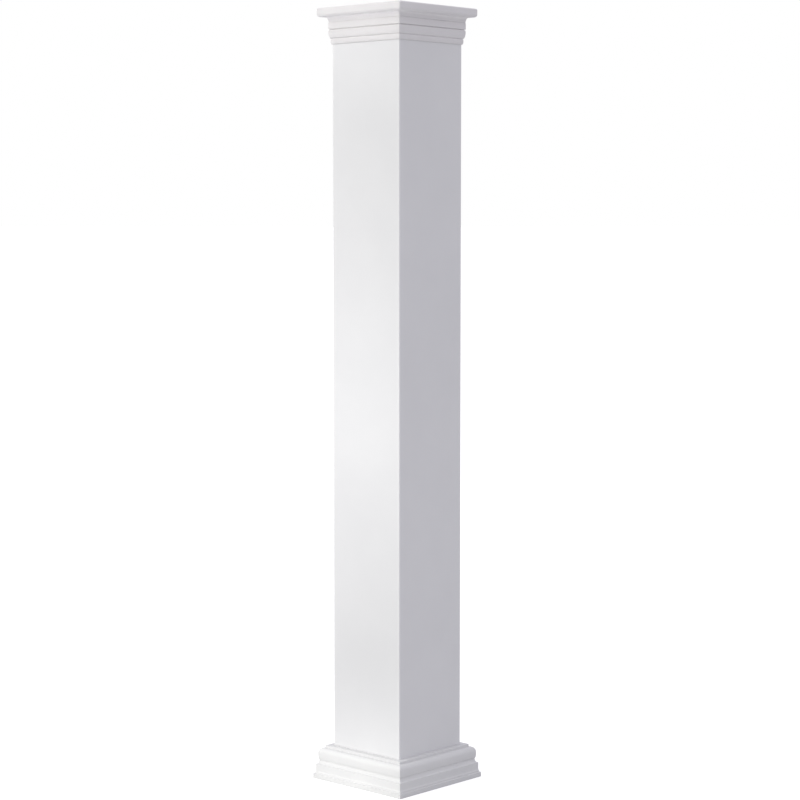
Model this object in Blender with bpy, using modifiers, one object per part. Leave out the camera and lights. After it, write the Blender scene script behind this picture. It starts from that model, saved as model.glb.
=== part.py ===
# Square porch column: a plain hollow shaft between a moulded capital and a moulded base.
# Metres, +Z up. The origin is on the floor, at the middle of the column.
# A projection is how far a moulding stands out from the face of the shaft.

import math

import bpy

# Shaft
COLUMN_HEIGHT = 2.4384  # eight feet, from floor to soffit
SHAFT_WIDTH = 0.28575  # eleven and a quarter inches, outside the walls
SHAFT_WALL = 0.0095
SHAFT_ARRIS_RADIUS = 0.0030  # eased outer corners
SHAFT_INNER_RADIUS = 0.0060  # corners of the hollow
SLIP_GAP = 0.0003  # between the shaft and each collar that slips over it

# Capital, from the top down
ABACUS_HEIGHT = 0.0270
ABACUS_PROJECTION = 0.0355
ABACUS_UPPER_REACH = 0.0045  # rounding of the slab's upper edge
ABACUS_UPPER_HEIGHT = 0.0050
ABACUS_LOWER_REACH = 0.0078  # rounding of its lower edge
ABACUS_LOWER_HEIGHT = 0.0088
CAVETTO_HEIGHT = 0.0160
CAVETTO_PROJECTION = 0.0096  # at its foot
CAVETTO_SWEEP = 0.0085  # how much further out it is at its head
UPPER_QUIRK_HEIGHT = 0.0014
BAND_HEIGHT = 0.0200
BAND_PROJECTION = 0.0101
LOWER_QUIRK_HEIGHT = 0.0018
OVOLO_PROJECTION = 0.0099  # at its widest line
OVOLO_SHOULDER_HEIGHT = 0.0055
OVOLO_SHOULDER_REACH = 0.0032
OVOLO_UNDERSIDE_HEIGHT = 0.0215
OVOLO_UNDERSIDE_REACH = 0.0055
NECK_QUIRK_HEIGHT = 0.0012
NECK_PROJECTION = 0.0050  # at its widest line
NECK_SHOULDER_HEIGHT = 0.0075
NECK_SHOULDER_REACH = 0.0010
NECK_UNDERSIDE_HEIGHT = 0.0095
NECK_UNDERSIDE_REACH = 0.0036

# Base, from the top down
FILLET_HEIGHT = 0.0083
FILLET_PROJECTION = 0.0200
TORUS_PROJECTION = 0.0370  # at its widest line
TORUS_SHOULDER_HEIGHT = 0.0179
TORUS_SHOULDER_REACH = 0.0135
TORUS_UNDERSIDE_HEIGHT = 0.0195
TORUS_UNDERSIDE_REACH = 0.0024
TORUS_QUIRK_HEIGHT = 0.0018
SCOTIA_HEIGHT = 0.0125
SCOTIA_SWEEP = 0.0080  # how far it draws in from the dado
DADO_HEIGHT = 0.0175
DADO_PROJECTION = 0.0420
CYMA_HEIGHT = 0.0140
CYMA_SWEEP = 0.0022  # how far it spreads beyond the dado
PLINTH_HEIGHT = 0.0150
PLINTH_PROJECTION = 0.0483

# Fine shaping shared by both collars
QUIRK_DEPTH = 0.0012  # how far a groove is cut behind the member beside it
EDGE_EASE = 0.0012  # rounding of each moulding's sharp edges
ARC_STEPS = 8  # facets in each quarter turn of a moulding
EASE_STEPS = 3  # facets in each eased edge
CORNER_STEPS = 4  # facets in each corner of the shaft
SIDES = 4
SHARP_ANGLE = math.radians(35)  # edges that turn further than this stay crisp
MERGE_DISTANCE = 0.0001

SHAFT_COLOUR = (0.75, 0.75, 0.76, 1.0)
CAPITAL_COLOUR = (0.73, 0.72, 0.72, 1.0)
BASE_COLOUR = (0.77, 0.77, 0.77, 1.0)
SHAFT_ROUGHNESS = 0.41
CAPITAL_ROUGHNESS = 0.52
BASE_ROUGHNESS = 0.50


def clear_scene():
    for item in list(bpy.data.objects):
        bpy.data.objects.remove(item, do_unlink=True)


def make_collection(name):
    collection = bpy.data.collections.new(name)
    bpy.context.scene.collection.children.link(collection)
    return collection


def make_material(name, colour, roughness):
    material = bpy.data.materials.new(name)
    material.use_nodes = True
    shader = material.node_tree.nodes["Principled BSDF"]
    shader.inputs["Base Color"].default_value = colour
    shader.inputs["Roughness"].default_value = roughness
    shader.inputs["Metallic"].default_value = 0.0
    material.diffuse_color = colour
    return material


def arc(centre, radii, start, end, steps=ARC_STEPS):
    """Points along an elliptical arc, from one angle in degrees to another, both ends included."""
    points = []
    for step in range(steps + 1):
        angle = math.radians(start + (end - start) * step / steps)
        points.append((centre[0] + radii[0] * math.cos(angle), centre[1] + radii[1] * math.sin(angle)))
    return points


def eased_upper_edge(projection, height):
    """The rounded outer edge at the top of a flat member."""
    return arc((projection - EDGE_EASE, height - EDGE_EASE), (EDGE_EASE, EDGE_EASE), 90, 0, EASE_STEPS)


def eased_lower_edge(projection, height):
    """The rounded outer edge at the foot of a flat member."""
    return arc((projection - EDGE_EASE, height + EDGE_EASE), (EDGE_EASE, EDGE_EASE), 0, -90, EASE_STEPS)


def flat_member(projection, head, foot):
    """A flat band with both its edges eased."""
    return eased_upper_edge(projection, head) + eased_lower_edge(projection, foot)


def quirk(beside, head, foot):
    """A narrow square groove, cut behind the projection of the member beside it."""
    floor = beside - QUIRK_DEPTH
    return [(floor, head), (floor, foot)]


def swelling_member(projection, head, shoulder, underside):
    """A quarter ellipse out to the member's widest line, then another that turns back in below it."""
    widest = head - shoulder[1]
    outward = arc((projection - shoulder[0], widest), shoulder, 90, 0)
    inward = arc((projection - underside[0], widest), underside, 0, -90)
    return outward + inward[1:]


def slab_edge(projection, head, foot, upper, lower):
    """The edge of a slab: upright, with a quarter ellipse at its top and a larger one at its foot."""
    over = arc((projection - upper[0], head - upper[1]), upper, 90, 0)
    under = arc((projection - lower[0], foot + lower[1]), lower, 0, -90)
    return over + under


def hollow_under_slab(projection, head, sweep, height):
    """A quarter ellipse that leaves the slab's underside level and ends upright at its foot."""
    return arc((projection + sweep, head - height), (sweep, height), 90, 180)


def hollow_over_ledge(projection, head, sweep, height):
    """A quarter ellipse that starts upright and ends level at the edge of the member below."""
    return arc((projection, head), (sweep, height), 180, 270)


def double_curve(projection, head, sweep, height):
    """A shallow cyma, hollow in its upper half and full in its lower half."""
    radii = (sweep / 2, height / 2)
    middle = projection + sweep / 2
    hollow = arc((middle, head), radii, 180, 270, ARC_STEPS // 2)
    full = arc((middle, head - height), radii, 90, 0, ARC_STEPS // 2)
    return hollow + full[1:]


def capital_profile():
    """The capital's outer side, from its top edge down to its foot."""
    cavetto_head = COLUMN_HEIGHT - ABACUS_HEIGHT
    cavetto_foot = cavetto_head - CAVETTO_HEIGHT
    band_head = cavetto_foot - UPPER_QUIRK_HEIGHT
    band_foot = band_head - BAND_HEIGHT
    ovolo_head = band_foot - LOWER_QUIRK_HEIGHT
    ovolo_foot = ovolo_head - OVOLO_SHOULDER_HEIGHT - OVOLO_UNDERSIDE_HEIGHT
    neck_head = ovolo_foot - NECK_QUIRK_HEIGHT
    slab_over = (ABACUS_UPPER_REACH, ABACUS_UPPER_HEIGHT)
    slab_under = (ABACUS_LOWER_REACH, ABACUS_LOWER_HEIGHT)
    ovolo_over = (OVOLO_SHOULDER_REACH, OVOLO_SHOULDER_HEIGHT)
    ovolo_under = (OVOLO_UNDERSIDE_REACH, OVOLO_UNDERSIDE_HEIGHT)
    neck_over = (NECK_SHOULDER_REACH, NECK_SHOULDER_HEIGHT)
    neck_under = (NECK_UNDERSIDE_REACH, NECK_UNDERSIDE_HEIGHT)
    return [
        *slab_edge(ABACUS_PROJECTION, COLUMN_HEIGHT, cavetto_head, slab_over, slab_under),
        *hollow_under_slab(CAVETTO_PROJECTION, cavetto_head, CAVETTO_SWEEP, CAVETTO_HEIGHT),
        *quirk(CAVETTO_PROJECTION, cavetto_foot, band_head),
        *flat_member(BAND_PROJECTION, band_head, band_foot),
        *quirk(OVOLO_PROJECTION - OVOLO_SHOULDER_REACH, band_foot, ovolo_head),
        *swelling_member(OVOLO_PROJECTION, ovolo_head, ovolo_over, ovolo_under),
        *quirk(NECK_PROJECTION - NECK_SHOULDER_REACH, ovolo_foot, neck_head),
        *swelling_member(NECK_PROJECTION, neck_head, neck_over, neck_under),
    ]


def base_profile():
    """The base's outer side, from its top edge down to the floor."""
    cyma_head = PLINTH_HEIGHT + CYMA_HEIGHT
    dado_head = cyma_head + DADO_HEIGHT
    scotia_head = dado_head + SCOTIA_HEIGHT
    torus_foot = scotia_head + TORUS_QUIRK_HEIGHT
    torus_head = torus_foot + TORUS_UNDERSIDE_HEIGHT + TORUS_SHOULDER_HEIGHT
    fillet_head = torus_head + FILLET_HEIGHT
    shoulder = (TORUS_SHOULDER_REACH, TORUS_SHOULDER_HEIGHT)
    underside = (TORUS_UNDERSIDE_REACH, TORUS_UNDERSIDE_HEIGHT)
    return [
        *eased_upper_edge(FILLET_PROJECTION, fillet_head),
        (FILLET_PROJECTION, torus_head),
        *swelling_member(TORUS_PROJECTION, torus_head, shoulder, underside),
        *quirk(TORUS_PROJECTION - TORUS_UNDERSIDE_REACH, torus_foot, scotia_head),
        *hollow_over_ledge(DADO_PROJECTION, scotia_head, SCOTIA_SWEEP, SCOTIA_HEIGHT),
        *double_curve(DADO_PROJECTION, cyma_head, CYMA_SWEEP, CYMA_HEIGHT),
        *flat_member(PLINTH_PROJECTION, PLINTH_HEIGHT, 0.0),
    ]


def realise(item):
    """Bakes an object's modifiers into its mesh and shades the curved members smooth between crisp edges."""
    evaluated = item.evaluated_get(bpy.context.evaluated_depsgraph_get())
    mesh = bpy.data.meshes.new_from_object(evaluated)
    item.modifiers.clear()
    item.data = mesh
    mesh.shade_smooth()
    mesh.set_sharp_from_angle(angle=SHARP_ANGLE)


def square_collar(name, profile, material, collection):
    """A mitred collar: a closed section on the square's diagonal, carried round in four steps by a Screw."""
    head, foot = profile[0][1], profile[-1][1]
    section = profile + [(SLIP_GAP, foot), (SLIP_GAP, head)]
    to_corner = math.sqrt(2)
    points = [(to_corner * (SHAFT_WIDTH / 2 + projection), 0.0, height) for projection, height in section]
    edges = [(index, (index + 1) % len(points)) for index in range(len(points))]
    mesh = bpy.data.meshes.new(name)
    mesh.from_pydata(points, edges, [])
    mesh.materials.append(material)
    collar = bpy.data.objects.new(name, mesh)
    collection.objects.link(collar)
    collar.rotation_euler = (0.0, 0.0, math.pi / SIDES)
    turn = collar.modifiers.new("four mitred sides", "SCREW")
    turn.steps = turn.render_steps = SIDES
    turn.angle = 2 * math.pi
    turn.use_merge_vertices = True
    turn.merge_threshold = MERGE_DISTANCE
    realise(collar)
    return collar


def rounded_square(half, radius):
    """Points round a square of the given half width, whose corners are arcs."""
    points = []
    reach = math.sqrt(2) * (half - radius)
    for corner in range(SIDES):
        start = 90 * corner
        diagonal = math.radians(start + 45)
        centre = (reach * math.cos(diagonal), reach * math.sin(diagonal))
        points += arc(centre, (radius, radius), start, start + 90, CORNER_STEPS)
    return points


def add_outline(curve, outline):
    spline = curve.splines.new("POLY")
    spline.points.add(len(outline) - 1)
    for point, (x, y) in zip(spline.points, outline):
        point.co = (x, y, 0.0, 1.0)
    spline.use_cyclic_u = True


def hollow_shaft(name, material, collection):
    """The shaft: a square outline with a square hollow in it, drawn up to the column's height."""
    half = SHAFT_WIDTH / 2
    curve = bpy.data.curves.new(name, "CURVE")
    curve.dimensions = "2D"
    curve.fill_mode = "BOTH"
    curve.extrude = COLUMN_HEIGHT / 2
    add_outline(curve, rounded_square(half, SHAFT_ARRIS_RADIUS))
    add_outline(curve, rounded_square(half - SHAFT_WALL, SHAFT_INNER_RADIUS))
    curve.materials.append(material)
    shaft = bpy.data.objects.new(name, curve)
    shaft.location = (0.0, 0.0, COLUMN_HEIGHT / 2)
    collection.objects.link(shaft)
    return shaft


def build_column():
    clear_scene()
    column = make_collection("square_column")
    gelcoat = make_material("shaft gelcoat", SHAFT_COLOUR, SHAFT_ROUGHNESS)
    capital_primer = make_material("capital primer", CAPITAL_COLOUR, CAPITAL_ROUGHNESS)
    base_primer = make_material("base primer", BASE_COLOUR, BASE_ROUGHNESS)
    hollow_shaft("shaft", gelcoat, column)
    square_collar("capital", capital_profile(), capital_primer, column)
    square_collar("base", base_profile(), base_primer, column)


build_column()
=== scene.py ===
import math

import bpy
import numpy as np
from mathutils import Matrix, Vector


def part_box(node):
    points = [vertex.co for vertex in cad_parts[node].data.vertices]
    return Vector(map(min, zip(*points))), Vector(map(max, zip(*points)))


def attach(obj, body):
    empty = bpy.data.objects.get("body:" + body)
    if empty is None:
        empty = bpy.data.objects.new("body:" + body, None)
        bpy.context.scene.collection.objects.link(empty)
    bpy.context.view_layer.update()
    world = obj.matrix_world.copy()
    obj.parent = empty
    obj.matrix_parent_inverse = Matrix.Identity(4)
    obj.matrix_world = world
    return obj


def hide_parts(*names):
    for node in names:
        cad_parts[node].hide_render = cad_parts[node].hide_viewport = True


# Square porch column: a hollow moulded shaft between a moulded capital and a moulded base.
# Metres throughout. A projection is how far a moulding stands out from the face of the shaft.

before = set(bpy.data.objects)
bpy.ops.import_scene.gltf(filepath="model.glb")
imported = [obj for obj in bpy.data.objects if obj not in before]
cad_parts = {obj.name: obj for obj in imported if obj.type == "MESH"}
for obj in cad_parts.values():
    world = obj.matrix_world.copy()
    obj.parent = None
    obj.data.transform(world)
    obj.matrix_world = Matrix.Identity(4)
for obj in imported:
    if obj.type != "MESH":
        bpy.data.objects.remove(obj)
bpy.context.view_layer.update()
_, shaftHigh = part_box("shaft")
halfShaft = shaftHigh.x  # from the axis to a face of the shaft
columnHeight = shaftHigh.z
print("frame loaded, column height", round(columnHeight, 4))


# Sections: each is an array of rows (projection, height)

def ellipseArc(centre, radii, startAngle, endAngle, count=24):
    # point = centre + (radii.x cos a, radii.y sin a), for angles a evenly spaced from start to end
    angles = np.radians(np.linspace(startAngle, endAngle, count))
    return np.column_stack([centre[0] + radii[0] * np.cos(angles), centre[1] + radii[1] * np.sin(angles)])


def squareGroove(floor, head, foot):
    # two points: the floor of a groove from its head down to its foot
    return np.array([[floor, head], [floor, foot]])


def flatMember(projection, head, foot):
    # two points: an upright face from its head down to its foot
    return np.array([[projection, head], [projection, foot]])


def swellingMember(projection, head, shoulder, underside):
    # a quarter ellipse out to the widest line, then a second one back in below it
    widest = head - shoulder[1]
    outward = ellipseArc((projection - shoulder[0], widest), shoulder, 90, 0)
    inward = ellipseArc((projection - underside[0], widest), underside, 0, -90)
    return np.vstack([outward, inward[1:]])


capitalSizes = {
    "abacusHeight": 0.0270, "abacusProjection": 0.0355,
    "abacusUpper": (0.0045, 0.0050), "abacusLower": (0.0078, 0.0088),  # reach, height
    "cavettoHeight": 0.0160, "cavettoProjection": 0.0096, "cavettoSweep": 0.0085,
    "upperQuirkHeight": 0.0014,
    "bandHeight": 0.0200, "bandProjection": 0.0101,
    "lowerQuirkHeight": 0.0018,
    "ovoloProjection": 0.0099,
    "ovoloShoulder": (0.0032, 0.0055), "ovoloUnderside": (0.0055, 0.0215),  # reach, height
    "neckQuirkHeight": 0.0012,
    "neckProjection": 0.0050,
    "neckShoulder": (0.0010, 0.0075), "neckUnderside": (0.0036, 0.0095),  # reach, height
    "quirkDepth": 0.0012,
}


def capitalSection(sizes, head):
    # members stacked from the head down: slab, cavetto, groove, band, groove, ovolo, groove, neck bead
    level = head - sizes["abacusHeight"]
    upper, lower = sizes["abacusUpper"], sizes["abacusLower"]
    slab = np.vstack([
        ellipseArc((sizes["abacusProjection"] - upper[0], head - upper[1]), upper, 90, 0),
        ellipseArc((sizes["abacusProjection"] - lower[0], level + lower[1]), lower, 0, -90)])
    cavetto = ellipseArc(
        (sizes["cavettoProjection"] + sizes["cavettoSweep"], level - sizes["cavettoHeight"]),
        (sizes["cavettoSweep"], sizes["cavettoHeight"]), 90, 180)
    level -= sizes["cavettoHeight"]
    grooveFloor = sizes["cavettoProjection"] - sizes["quirkDepth"]
    upperQuirk = squareGroove(grooveFloor, level, level - sizes["upperQuirkHeight"])
    level -= sizes["upperQuirkHeight"]
    band = flatMember(sizes["bandProjection"], level, level - sizes["bandHeight"])
    level -= sizes["bandHeight"]
    grooveFloor = sizes["ovoloProjection"] - sizes["ovoloShoulder"][0] - sizes["quirkDepth"]
    lowerQuirk = squareGroove(grooveFloor, level, level - sizes["lowerQuirkHeight"])
    level -= sizes["lowerQuirkHeight"]
    ovolo = swellingMember(sizes["ovoloProjection"], level, sizes["ovoloShoulder"], sizes["ovoloUnderside"])
    level -= sizes["ovoloShoulder"][1] + sizes["ovoloUnderside"][1]
    grooveFloor = sizes["neckProjection"] - sizes["neckShoulder"][0] - sizes["quirkDepth"]
    neckQuirk = squareGroove(grooveFloor, level, level - sizes["neckQuirkHeight"])
    level -= sizes["neckQuirkHeight"]
    neck = swellingMember(sizes["neckProjection"], level, sizes["neckShoulder"], sizes["neckUnderside"])
    return np.vstack([slab, cavetto, upperQuirk, band, lowerQuirk, ovolo, neckQuirk, neck])


baseSizes = {
    "filletHeight": 0.0083, "filletProjection": 0.0200,
    "torusProjection": 0.0370,
    "torusShoulder": (0.0135, 0.0179), "torusUnderside": (0.0024, 0.0195),  # reach, height
    "torusQuirkHeight": 0.0018,
    "scotiaHeight": 0.0125, "scotiaSweep": 0.0080,
    "dadoHeight": 0.0175, "dadoProjection": 0.0420,
    "cymaHeight": 0.0140, "cymaSweep": 0.0022, "cymaPoints": 12,
    "plinthHeight": 0.0150, "plinthProjection": 0.0483,
    "quirkDepth": 0.0012,
}


def baseSection(sizes, foot):
    # members stacked from the floor up, then listed from the head down
    cymaFoot = foot + sizes["plinthHeight"]
    dadoFoot = cymaFoot + sizes["cymaHeight"]
    dadoHead = dadoFoot + sizes["dadoHeight"]
    scotiaHead = dadoHead + sizes["scotiaHeight"]
    torusFoot = scotiaHead + sizes["torusQuirkHeight"]
    torusHead = torusFoot + sizes["torusShoulder"][1] + sizes["torusUnderside"][1]
    fillet = flatMember(sizes["filletProjection"], torusHead + sizes["filletHeight"], torusHead)
    torus = swellingMember(
        sizes["torusProjection"], torusHead, sizes["torusShoulder"], sizes["torusUnderside"])
    grooveFloor = sizes["torusProjection"] - sizes["torusUnderside"][0] - sizes["quirkDepth"]
    quirk = squareGroove(grooveFloor, torusFoot, scotiaHead)
    scotia = ellipseArc(
        (sizes["dadoProjection"], scotiaHead), (sizes["scotiaSweep"], sizes["scotiaHeight"]), 180, 270)
    radii = (sizes["cymaSweep"] / 2, sizes["cymaHeight"] / 2)
    middle = sizes["dadoProjection"] + sizes["cymaSweep"] / 2
    hollow = ellipseArc((middle, dadoFoot), radii, 180, 270, sizes["cymaPoints"])
    full = ellipseArc((middle, cymaFoot), radii, 90, 0, sizes["cymaPoints"])
    plinth = flatMember(sizes["plinthProjection"], cymaFoot, foot)
    return np.vstack([fillet, torus, quirk, scotia, hollow, full[1:], plinth])


def softened(section, softness, count, longestStep):
    # The section closed on itself, blurred along its length by a bell curve, then thinned again so
    # that points are spaced by their share of the sum of length / longestStep and of turning.
    closed = np.vstack([section, section[:1]])
    along = np.concatenate([[0], np.cumsum(np.hypot(*np.diff(closed, axis=0).T))])
    fineCount = 4096
    turnWeight = 12  # a radian of turning counts for as much as this many longest steps
    fineAlong = np.linspace(0, along[-1], fineCount, endpoint=False)
    fine = np.column_stack([np.interp(fineAlong, along, closed[:, k]) for k in (0, 1)])
    distance = np.minimum(fineAlong, along[-1] - fineAlong)
    bell = np.exp(-0.5 * (distance / softness) ** 2)
    spectrum = np.fft.rfft(bell / bell.sum())[:, None]
    fine = np.fft.irfft(np.fft.rfft(fine, axis=0) * spectrum, n=fineCount, axis=0)
    step = np.roll(fine, -1, axis=0) - fine
    heading = np.unwrap(np.arctan2(step[:, 1], step[:, 0]))
    turning = np.abs(np.diff(heading, append=heading[-1]))
    turning = np.fft.irfft(np.fft.rfft(turning) * spectrum[:, 0], n=fineCount)
    measure = np.cumsum(np.hypot(*step.T) / longestStep + turnWeight * np.clip(turning, 0, None))
    places = np.interp(np.linspace(0, measure[-1], count, endpoint=False), measure, np.arange(fineCount))
    index = np.arange(fineCount)
    return np.column_stack([np.interp(places, index, fine[:, k]) for k in (0, 1)])


# Paths: one turn round a square, as corner centres in units of the half width, and outward normals

def squarePath(sideCount, cornerCount, nearCorner):
    # Each side runs from -1 to 1 with two extra points close to each corner, then a quarter turn follows.
    # The normal keeps still along a side, and turns evenly through a corner while the centre keeps still.
    even = np.linspace(-1, 1, sideCount + 1)[1:-1]
    first, second = nearCorner
    along = np.concatenate([[-1, -1 + first, -1 + second], even, [1 - second, 1 - first]])
    turn = np.radians(np.linspace(0, 90, cornerCount + 1)[:-1])
    centreX = np.concatenate([np.ones_like(along), np.ones_like(turn)])
    centreY = np.concatenate([along, np.ones_like(turn)])
    normalAngle = np.concatenate([np.zeros_like(along), turn])
    closeness = np.clip(1 - (1 - np.abs(along)) / (2 * second), 0, 1)  # 1 at the corner, 0 away from it
    corner = np.concatenate([closeness, np.ones_like(turn)])
    quarter = np.arange(4)[:, None] * math.pi / 2
    x = (centreX * np.cos(quarter) - centreY * np.sin(quarter)).ravel()
    y = (centreX * np.sin(quarter) + centreY * np.cos(quarter)).ravel()
    angle = (normalAngle + quarter).ravel()
    return {
        "centre": np.column_stack([x, y]), "normal": np.column_stack([np.cos(angle), np.sin(angle)]),
        "corner": np.tile(corner, 4), "along": np.tile(centreY, 4)}


def carriedRound(name, section, radius, path, waves=()):
    # Point (i, j) is centre j times (half width i - radius i), plus normal j times radius i, at height i.
    # Both ways the grid closes on itself, so the piece is one closed ring.
    # The waves are slow sines of height and bearing. They fade out at the corners, and keep the
    # flats from being dead flat.
    inset = halfShaft + section[:, 0] - radius
    flat = path["centre"][None] * inset[:, None, None] + path["normal"][None] * radius[:, None, None]
    height = np.broadcast_to(section[:, 1][:, None], flat.shape[:2])
    bearing = np.arctan2(path["centre"][:, 1], path["centre"][:, 0])[None]
    outward = np.zeros_like(height)
    for swing, rise, turns, start in waves:
        outward += swing * np.sin(rise * height + turns * bearing + start)
    outward *= 1 - path["along"][None] ** 2
    flat = flat + outward[..., None] * path["normal"][None]
    vertices = np.concatenate([flat, height[..., None]], axis=2).reshape(-1, 3)
    rows, columns = flat.shape[:2]
    i, j = np.meshgrid(np.arange(rows), np.arange(columns), indexing="ij")
    nextI, nextJ = (i + 1) % rows, (j + 1) % columns
    corners = [i * columns + j, nextI * columns + j, nextI * columns + nextJ, i * columns + nextJ]
    faces = np.stack(corners, axis=-1)
    mesh = bpy.data.meshes.new(name)
    mesh.from_pydata(vertices.tolist(), [], faces.reshape(-1, 4).tolist())
    mesh.shade_smooth()
    piece = bpy.data.objects.new(name, mesh)
    bpy.context.scene.collection.objects.link(piece)
    return piece


def paintPoints(piece, name, values):
    # one number for each vertex, which the finish reads by name
    attribute = piece.data.attributes.new(name, "FLOAT", "POINT")
    attribute.data.foreach_set("value", np.ascontiguousarray(values, dtype=np.float32).ravel())


def shelterOf(section, reach, depth):
    # how far a point lies behind the furthest point within reach above or below it, in units of depth
    near = np.abs(section[:, 1][:, None] - section[:, 1][None]) < reach
    furthest = np.where(near, section[:, 0][None], -1).max(axis=1)
    return np.clip((furthest - section[:, 0]) / depth, 0, 1)


def ridgeOf(section, reach, height):
    # how far a point stands in front of the mean of the points within reach of it, in units of height
    near = np.abs(section[:, 1][:, None] - section[:, 1][None]) < reach
    mean = np.where(near, section[:, 0][None], 0).sum(axis=1) / near.sum(axis=1)
    return np.clip((section[:, 0] - mean) / height, 0, 1)


# Finishes

softRange = (0.3, 0.7)  # most of a noise's values lie between these
crispRange = (0.35, 0.65)  # the same with more contrast


def newFinish(name):
    material = bpy.data.materials.new(name)
    material.use_nodes = True
    nodes, links = material.node_tree.nodes, material.node_tree.links
    shader = nodes["Principled BSDF"]
    place = nodes.new("ShaderNodeTexCoord")
    return material, nodes, links, shader, place.outputs["Object"]


def noiseOf(nodes, links, place, scale, detail, stretch=(1, 1, 1)):
    mapping = nodes.new("ShaderNodeMapping")
    mapping.inputs["Scale"].default_value = stretch
    links.new(place, mapping.inputs["Vector"])
    noise = nodes.new("ShaderNodeTexNoise")
    noise.inputs["Scale"].default_value = scale
    noise.inputs["Detail"].default_value = detail
    links.new(mapping.outputs["Vector"], noise.inputs["Vector"])
    return noise.outputs["Fac"]


def rangeOf(nodes, links, value, low, high, newLow, newHigh):
    node = nodes.new("ShaderNodeMapRange")
    for socket, number in zip(("From Min", "From Max", "To Min", "To Max"), (low, high, newLow, newHigh)):
        node.inputs[socket].default_value = number
    links.new(value, node.inputs["Value"])
    return node.outputs["Result"]


def mathOf(nodes, links, operation, first, second):
    node = nodes.new("ShaderNodeMath")
    node.operation = operation
    for socket, value in zip(node.inputs, (first, second)):
        if isinstance(value, (int, float)):
            socket.default_value = value
        else:
            links.new(value, socket)
    return node.outputs["Value"]


def mixOf(nodes, links, factor, first, second):
    node = nodes.new("ShaderNodeMix")
    node.data_type = "RGBA"
    links.new(factor, node.inputs["Factor"])
    for socket, value in ((node.inputs["A"], first), (node.inputs["B"], second)):
        if isinstance(value, tuple):
            socket.default_value = (*value, 1)
        else:
            links.new(value, socket)
    return node.outputs["Result"]


def attributeOf(nodes, name):
    node = nodes.new("ShaderNodeAttribute")
    node.attribute_name = name
    return node.outputs["Fac"]


def bumpOf(nodes, links, height, distance, strength, under=None):
    node = nodes.new("ShaderNodeBump")
    node.inputs["Distance"].default_value = distance
    node.inputs["Strength"].default_value = strength
    links.new(height, node.inputs["Height"])
    if under is not None:
        links.new(under, node.inputs["Normal"])
    return node.outputs["Normal"]


shaftLook = {
    "skin": (0.735, 0.735, 0.742),
    "skinPale": (0.765, 0.765, 0.770),
    # the eased corners are painted paler: a painted highlight
    "edge": (0.83, 0.83, 0.835),
    "laminate": (0.56, 0.56, 0.50),
    "laminateDark": (0.40, 0.405, 0.345),
    "resin": (0.47, 0.46, 0.38),
    "roughness": (0.36, 0.46), "rawRoughness": 0.6,
    "mottlingScale": 3.2,
    "drawLineScale": 160, "drawLineStretch": (1, 1, 0.012), "drawLineBump": (0.00012, 0.35),
    "peelScale": 420, "peelBump": (0.00005, 0.5),
    "strandScale": 110, "strandDetail": 2, "strandLength": 9, "strandDistortion": 0.6,
    "strandTurns": ((0.55, 0.50, 0.0), (-0.75, -0.60, 0.4), (1.35, 1.25, 0.2), (-0.15, 0.20, 0.9)),
    "strandRange": (0.52, 0.80), "strandBump": (0.0008, 0.6),
    "cloudingScale": 7, "cloudingStrength": 0.45,
}


def gelcoatFinish(look):
    # white gelcoat: slow mottling, faint upright draw lines, very fine orange peel, and a painted highlight
    # along the eased corners
    material, nodes, links, shader, place = newFinish("shaft gelcoat")
    mottling = noiseOf(nodes, links, place, look["mottlingScale"], detail=4)
    mottling = rangeOf(nodes, links, mottling, *crispRange, 0, 1)
    colour = mixOf(nodes, links, mottling, look["skin"], look["skinPale"])
    # painted highlight along the eased corners
    colour = mixOf(nodes, links, attributeOf(nodes, "edge"), colour, look["edge"])
    links.new(colour, shader.inputs["Base Color"])
    drawLines = noiseOf(nodes, links, place, look["drawLineScale"], detail=2, stretch=look["drawLineStretch"])
    links.new(rangeOf(nodes, links, drawLines, *softRange, *look["roughness"]), shader.inputs["Roughness"])
    peel = noiseOf(nodes, links, place, look["peelScale"], detail=2)
    normal = bumpOf(nodes, links, drawLines, *look["drawLineBump"])
    links.new(bumpOf(nodes, links, peel, *look["peelBump"], normal), shader.inputs["Normal"])
    return material


def strandsOf(nodes, links, place, look, turn):
    # noise drawn out along one direction, which is the upright turned by the given angles
    mapping = nodes.new("ShaderNodeMapping")
    mapping.vector_type = "TEXTURE"
    mapping.inputs["Rotation"].default_value = turn
    mapping.inputs["Scale"].default_value = (1, 1, look["strandLength"])
    links.new(place, mapping.inputs["Vector"])
    noise = nodes.new("ShaderNodeTexNoise")
    noise.inputs["Scale"].default_value = look["strandScale"]
    noise.inputs["Detail"].default_value = look["strandDetail"]
    noise.inputs["Distortion"].default_value = look["strandDistortion"]
    links.new(mapping.outputs["Vector"], noise.inputs["Vector"])
    return noise.outputs["Fac"]


def laminateFinish(look):
    # the raw inside: chopped glass strands lying every way, slowly clouded with resin, and matt
    material, nodes, links, shader, place = newFinish("shaft laminate")
    strands = strandsOf(nodes, links, place, look, look["strandTurns"][0])
    for turn in look["strandTurns"][1:]:
        strands = mathOf(nodes, links, "MAXIMUM", strands, strandsOf(nodes, links, place, look, turn))
    shown = rangeOf(nodes, links, strands, *look["strandRange"], 0, 1)
    colour = mixOf(nodes, links, shown, look["laminateDark"], look["laminate"])
    clouding = noiseOf(nodes, links, place, look["cloudingScale"], detail=3)
    resin = rangeOf(nodes, links, clouding, *softRange, 0, look["cloudingStrength"])
    colour = mixOf(nodes, links, resin, colour, look["resin"])
    links.new(colour, shader.inputs["Base Color"])
    shader.inputs["Roughness"].default_value = look["rawRoughness"]
    links.new(bumpOf(nodes, links, strands, *look["strandBump"]), shader.inputs["Normal"])
    return material


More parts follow.
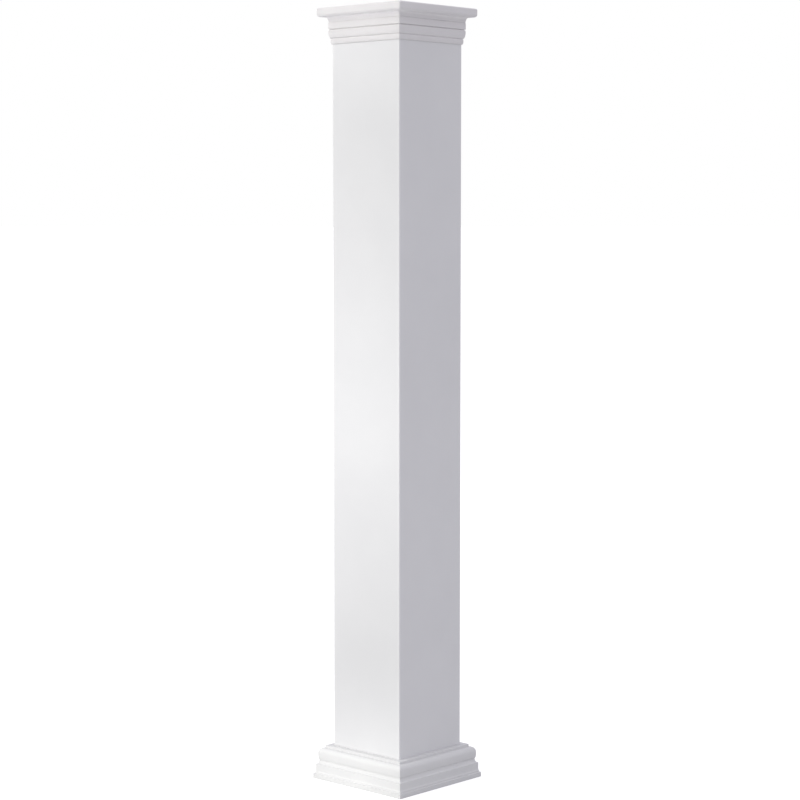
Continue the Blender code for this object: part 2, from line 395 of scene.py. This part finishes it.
capitalLook = {
    "name": "capital primer",
    "primer": (0.717, 0.698, 0.702), "primerPale": (0.746, 0.729, 0.732),
    # hollow is painted light: paler than the primer, it lifts the shade in the recesses; edge is a painted
    # highlight
    "edge": (0.78, 0.77, 0.77), "hollow": (0.88, 0.865, 0.87),
    "paintedHollowShading": 0.85, "roughness": (0.46, 0.58),
}

baseLook = {
    "name": "base primer",
    "primer": (0.700, 0.700, 0.700), "primerPale": (0.730, 0.730, 0.727),
    # hollow is painted shade, darker than the primer, in the recesses; edge is a painted highlight
    "edge": (0.775, 0.775, 0.77), "hollow": (0.68, 0.68, 0.68),
    "paintedHollowShading": 0.22, "roughness": (0.44, 0.56),
}

primerGrain = {  # the same on both collars
    "mottlingScale": 9,
    "breakScale": 45, "breakStrength": (0.75, 1.0),  # the breaks thin out the painted shading in the hollows
    "flowScale": 70, "flowStretch": (1, 1, 2.5), "flowBump": (0.00006, 0.2),
    "peelScale": 520, "peelBump": (0.00005, 0.45),
}


def primerFinish(look, grain):
    # primed moulding: slow mottling, painted shading in the hollows (paler on the capital, darker on the
    # base), painted highlights on ridges and edges, fine peel and flow marks
    material, nodes, links, shader, place = newFinish(look["name"])
    mottling = noiseOf(nodes, links, place, grain["mottlingScale"], detail=4)
    mottling = rangeOf(nodes, links, mottling, *crispRange, 0, 1)
    colour = mixOf(nodes, links, mottling, look["primer"], look["primerPale"])
    breaks = noiseOf(nodes, links, place, grain["breakScale"], detail=3)
    breaks = rangeOf(nodes, links, breaks, *softRange, *grain["breakStrength"])
    # painted shading in the hollows: lighter on the capital, darker on the base
    hollow = mathOf(nodes, links, "MULTIPLY", attributeOf(nodes, "shelter"), breaks)
    hollow = mathOf(nodes, links, "MULTIPLY", hollow, look["paintedHollowShading"])
    colour = mixOf(nodes, links, hollow, colour, look["hollow"])
    # painted highlight on ridges and eased corners
    colour = mixOf(nodes, links, attributeOf(nodes, "edge"), colour, look["edge"])
    links.new(colour, shader.inputs["Base Color"])
    flow = noiseOf(nodes, links, place, grain["flowScale"], detail=2, stretch=grain["flowStretch"])
    links.new(rangeOf(nodes, links, flow, *softRange, *look["roughness"]), shader.inputs["Roughness"])
    peel = noiseOf(nodes, links, place, grain["peelScale"], detail=2)
    normal = bumpOf(nodes, links, flow, *grain["flowBump"])
    links.new(bumpOf(nodes, links, peel, *grain["peelBump"], normal), shader.inputs["Normal"])
    return material


# Pieces

shaftBuild = {
    "wall": 0.0095, "arris": 0.0030, "innerCorner": 0.0060,
    "softness": 0.0003, "count": 180, "longestStep": 0.05,
    "sideCount": 26, "cornerCount": 8, "nearCorner": (0.005, 0.022),
    "waves": ((0.00008, 9.1, 3, 0.0), (0.000048, 21.7, -5, 1.3)),  # swing, rise, turns, start
    # how strongly the eased corners carry the painted highlight
    "cornerHighlightPaint": 0.6,
    "rawFrom": 0.08,  # the share of the wall, from outside in, where raw laminate starts
}


def buildShaft(sizes):
    # a tall hollow ring: outer face down, foot rim, inner face up, head rim
    section = np.array([[0, columnHeight], [0, 0], [-sizes["wall"], 0], [-sizes["wall"], columnHeight]])
    section = softened(section, sizes["softness"], sizes["count"], sizes["longestStep"])
    depth = np.clip(-section[:, 0] / sizes["wall"], 0, 1)
    radius = sizes["arris"] + (sizes["innerCorner"] - sizes["arris"]) * depth
    path = squarePath(sizes["sideCount"], sizes["cornerCount"], sizes["nearCorner"])
    piece = carriedRound("columnShaft", section, radius, path, sizes["waves"])
    outside = (depth < 0.5)[:, None]
    # mask for the painted highlight on the outer eased corners
    paintPoints(piece, "edge", sizes["cornerHighlightPaint"] * outside * path["corner"][None] ** 2)
    piece.data.materials.append(gelcoatFinish(shaftLook))
    piece.data.materials.append(laminateFinish(shaftLook))
    rowIsRaw = (depth + np.roll(depth, -1)) / 2 > sizes["rawFrom"]
    slots = np.repeat(rowIsRaw, len(path["centre"])).astype(np.int32)
    piece.data.polygons.foreach_set("material_index", slots)
    return piece


collarBuild = {
    "slipGap": 0.0003,  # between the shaft and a collar
    "softness": 0.00035, "count": 300, "longestStep": 0.004,
    "sideCount": 24, "cornerCount": 6, "nearCorner": (0.005, 0.018),
    "innerArris": 0.0018, "capitalArris": 0.0040, "baseArris": 0.0020,
    "arrisDepth": 0.0040,  # how far out from the shaft the full arris is reached
    "facingDepth": 0.0010,  # how far out from the inner wall the paint starts
    "shelterReach": 0.0045, "shelterDepth": 0.0060,
    # how strongly ridges and eased corners carry the painted highlight
    "ridgeReach": 0.0060, "ridgeHeight": 0.0030, "ridgeHighlightPaint": 0.35, "cornerHighlightPaint": 0.5,
}


def buildCollar(name, section, arris, look, build):
    # the outer section closed along the shaft by the inner wall, then carried round the square
    head, foot = section[0, 1], section[-1, 1]
    inner = np.array([[build["slipGap"], foot], [build["slipGap"], head]])
    closed = np.vstack([section, inner])
    closed = softened(closed, build["softness"], build["count"], build["longestStep"])
    path = squarePath(build["sideCount"], build["cornerCount"], build["nearCorner"])
    outward = np.clip((closed[:, 0] - build["slipGap"]) / build["arrisDepth"], 0, 1)
    radius = build["innerArris"] + (arris - build["innerArris"]) * outward
    piece = carriedRound(name, closed, radius, path)
    facing = (closed[:, 0] > build["slipGap"] + build["facingDepth"]).astype(float)
    # mask for the painted shading in the hollows
    shelter = facing * shelterOf(closed, build["shelterReach"], build["shelterDepth"])
    paintPoints(piece, "shelter", np.repeat(shelter, len(path["centre"])))
    # mask for the painted highlight on ridges and eased corners
    ridgeHighlight = build["ridgeHighlightPaint"] * facing * ridgeOf(closed, build["ridgeReach"], build["ridgeHeight"])
    arrisHighlight = build["cornerHighlightPaint"] * facing[:, None] * path["corner"][None] ** 2
    paintPoints(piece, "edge", np.maximum(ridgeHighlight[:, None], arrisHighlight))
    piece.data.materials.append(primerFinish(look, primerGrain))
    return piece


shaft = buildShaft(shaftBuild)
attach(shaft, "root")
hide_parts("shaft")
print("shaft built,", len(shaft.data.polygons), "faces")

section = capitalSection(capitalSizes, columnHeight)
capital = buildCollar("columnCapital", section, collarBuild["capitalArris"], capitalLook, collarBuild)
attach(capital, "root")
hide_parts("capital")
print("capital built,", len(capital.data.polygons), "faces")

section = baseSection(baseSizes, 0.0)
base = buildCollar("columnBase", section, collarBuild["baseArris"], baseLook, collarBuild)
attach(base, "root")
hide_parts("base")
print("base built,", len(base.data.polygons), "faces")


# Studio: floor, sky, lights and camera

studio = {
    "floorColour": (0.62, 0.62, 0.62), "floorGlow": 0.66, "floorSize": 4000.0,
    "skySeen": (1.0, 1.0, 1.0), "skyLow": (0.537, 0.532, 0.583), "skyHigh": (0.890, 0.880, 0.962),
    "skyBright": (1.662, 1.664, 1.580),
    "brightSide": (-0.526, -0.843, 0.110),  # the way to the brightest sky
    "brightEdges": (0.30, 0.95),  # cosines off that side where the sky starts and ends brightening
    "softboxes": {  # power, size, spread in degrees, place and what it points at
        "strip": (4.15, (0.5, 2.9), 180, (-1.15, -0.95, 1.38), (-0.05, -0.14, 1.38)),
        "pool": (0.70, (0.3, 0.3), 180, (-0.02, -0.75, 1.16), (-0.02, 0.0, 1.16)),
        "foot": (0.132, (0.4, 0.12), 70, (-0.14, -0.70, 0.06), (0.02, -0.17, 0.02)),
        "head": (0.045, (0.3, 0.12), 60, (-0.20, -0.70, 2.24), (0.03, -0.165, 2.39)),
        "soffit": (0.020, (0.6, 0.06), 16, (-0.20, -0.80, 1.60), (0.0, -0.165, 2.41)),
    },
}


def aimed(item, place, target):
    direction = np.array(target, float) - np.array(place, float)
    item.location = place
    flat = math.hypot(direction[0], direction[1])
    item.rotation_euler = (math.atan2(flat, -direction[2]), 0, math.atan2(-direction[0], direction[1]))
    bpy.context.scene.collection.objects.link(item)
    return item


def softbox(name, power, size, spread, place, target):
    lamp = bpy.data.lights.new(name, "AREA")
    lamp.shape = "RECTANGLE"
    lamp.energy = power
    lamp.size, lamp.size_y = size
    lamp.spread = math.radians(spread)
    item = aimed(bpy.data.objects.new(name, lamp), place, target)
    item.visible_camera = False


def buildFloor(setup):
    # a matt plane that glows for the camera alone, so that it shows as white as the photograph's ground
    half = setup["floorSize"] / 2
    mesh = bpy.data.meshes.new("studioFloor")
    corners = [(-half, -half, 0), (half, -half, 0), (half, half, 0), (-half, half, 0)]
    mesh.from_pydata(corners, [], [(0, 1, 2, 3)])
    floor = bpy.data.objects.new("studioFloor", mesh)
    bpy.context.scene.collection.objects.link(floor)
    material, nodes, links, shader, _ = newFinish("studio floor")
    shader.inputs["Base Color"].default_value = (*setup["floorColour"], 1)
    shader.inputs["Roughness"].default_value = 1.0
    shader.inputs["Specular IOR Level"].default_value = 0.0
    shader.inputs["Emission Color"].default_value = (1, 1, 1, 1)
    seen = nodes.new("ShaderNodeLightPath").outputs["Is Camera Ray"]
    seenGlow = mathOf(nodes, links, "MULTIPLY", seen, setup["floorGlow"])
    links.new(seenGlow, shader.inputs["Emission Strength"])
    mesh.materials.append(material)


def buildSky(setup):
    # paler overhead and towards the bright side, and plain white where the camera sees it
    world = bpy.data.worlds.new("studio sky")
    bpy.context.scene.world = world
    world.use_nodes = True
    nodes, links = world.node_tree.nodes, world.node_tree.links
    backdrop = nodes["Background"]
    backdrop.inputs["Color"].default_value = (*setup["skySeen"], 1)
    lighting = nodes.new("ShaderNodeBackground")
    direction = nodes.new("ShaderNodeTexCoord").outputs["Generated"]
    parts = nodes.new("ShaderNodeSeparateXYZ")
    links.new(direction, parts.inputs["Vector"])
    steepness = rangeOf(nodes, links, parts.outputs["Z"], 0, 1, 0, 1)
    ambient = mixOf(nodes, links, steepness, setup["skyLow"], setup["skyHigh"])
    toward = nodes.new("ShaderNodeVectorMath")  # how far a direction points to the bright side
    toward.operation = "DOT_PRODUCT"
    links.new(direction, toward.inputs[0])
    toward.inputs[1].default_value = setup["brightSide"]
    glow = rangeOf(nodes, links, toward.outputs["Value"], *setup["brightEdges"], 0, 1)
    glow.node.interpolation_type = "SMOOTHSTEP"
    links.new(mixOf(nodes, links, glow, ambient, setup["skyBright"]), lighting.inputs["Color"])
    mix = nodes.new("ShaderNodeMixShader")
    links.new(nodes.new("ShaderNodeLightPath").outputs["Is Camera Ray"], mix.inputs["Fac"])
    links.new(lighting.outputs["Background"], mix.inputs[1])
    links.new(backdrop.outputs["Background"], mix.inputs[2])
    links.new(mix.outputs["Shader"], nodes["World Output"].inputs["Surface"])


cameraSetup = {
    "focalPixels": 2166.1, "imagePixels": 800,  # measured on the photograph
    "distance": 6.8285, "height": 1.7719,  # from the column's axis, and over the floor
    "azimuth": 43.025, "pitch": 4.671,
    "axisPixel": 397.11,  # where the column's axis stands across the picture
    "sensor": 36.0,
}


def buildCamera(setup):
    data = bpy.data.cameras.new("studioCamera")
    data.sensor_width = setup["sensor"]
    data.lens = setup["sensor"] * setup["focalPixels"] / setup["imagePixels"]
    camera = bpy.data.objects.new("studioCamera", data)
    azimuth = math.radians(setup["azimuth"])
    aside = math.atan2(setup["imagePixels"] / 2 - setup["axisPixel"], setup["focalPixels"])
    away = setup["distance"]
    camera.location = (away * math.sin(azimuth), -away * math.cos(azimuth), setup["height"])
    camera.rotation_euler = (math.radians(90 - setup["pitch"]), 0, azimuth - aside)
    bpy.context.scene.collection.objects.link(camera)
    bpy.context.scene.camera = camera


buildFloor(studio)
buildSky(studio)
for lampName, settings in studio["softboxes"].items():
    softbox(lampName + "Softbox", *settings)
buildCamera(cameraSetup)
bpy.context.scene.view_settings.view_transform = "Standard"
print("studio and camera ready")
